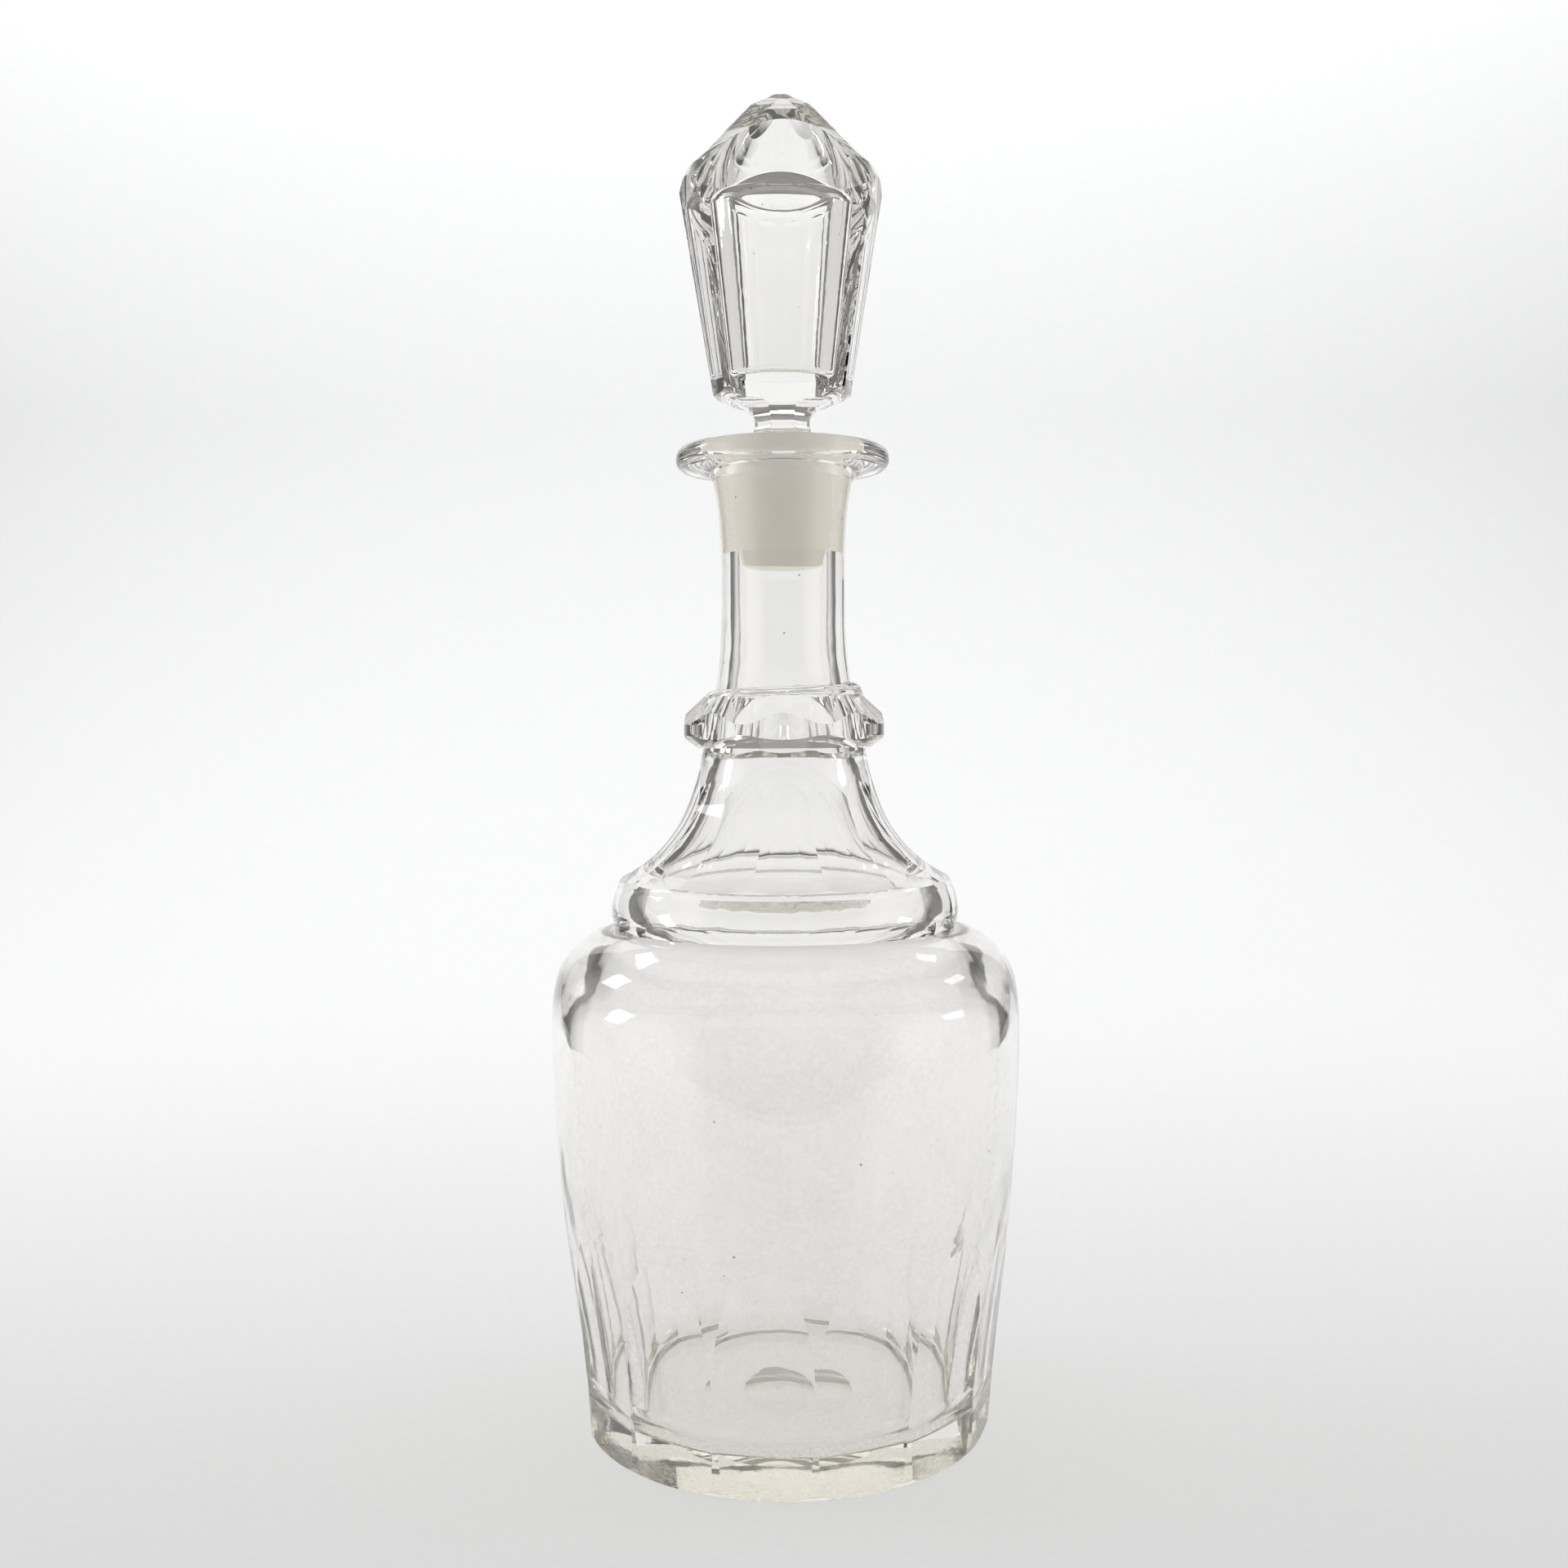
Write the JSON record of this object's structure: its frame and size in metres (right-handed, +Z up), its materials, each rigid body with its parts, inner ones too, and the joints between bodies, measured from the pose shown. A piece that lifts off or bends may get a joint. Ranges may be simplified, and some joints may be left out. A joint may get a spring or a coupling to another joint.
{
  "type": "decanter",
  "caption": "Cut crystal decanter with a panelled body, fluted shoulder, stepped waist, applied neck ring and disc lip, and a ground-in stopper with a cut, blown hollow head.",
  "frame": {"origin": "centre of the flat foot, on the table", "axes": "+Z up along the axis of the vessel, -Y towards the front view"},
  "size_m": [0.115, 0.115, 0.3265],
  "materials": {
    "body_crystal": "clear polished lead crystal, faintly warm grey, ground matt inside the mouth",
    "stopper_crystal": "clear polished lead crystal, blown hollow in the head, with a ground matt plug"
  },
  "bodies": {
    "decanter": {"decanter_body": "body_crystal", "neck_ring": "body_crystal", "lip_flange": "body_crystal"},
    "stopper": {"stopper": "stopper_crystal"}
  },
  "joints": [
    {"name": "stopper_lift", "type": "slide", "parent": "decanter", "child": "stopper", "axis": [0, 0, 1], "range_m": [0, 0.06]}
  ]
}
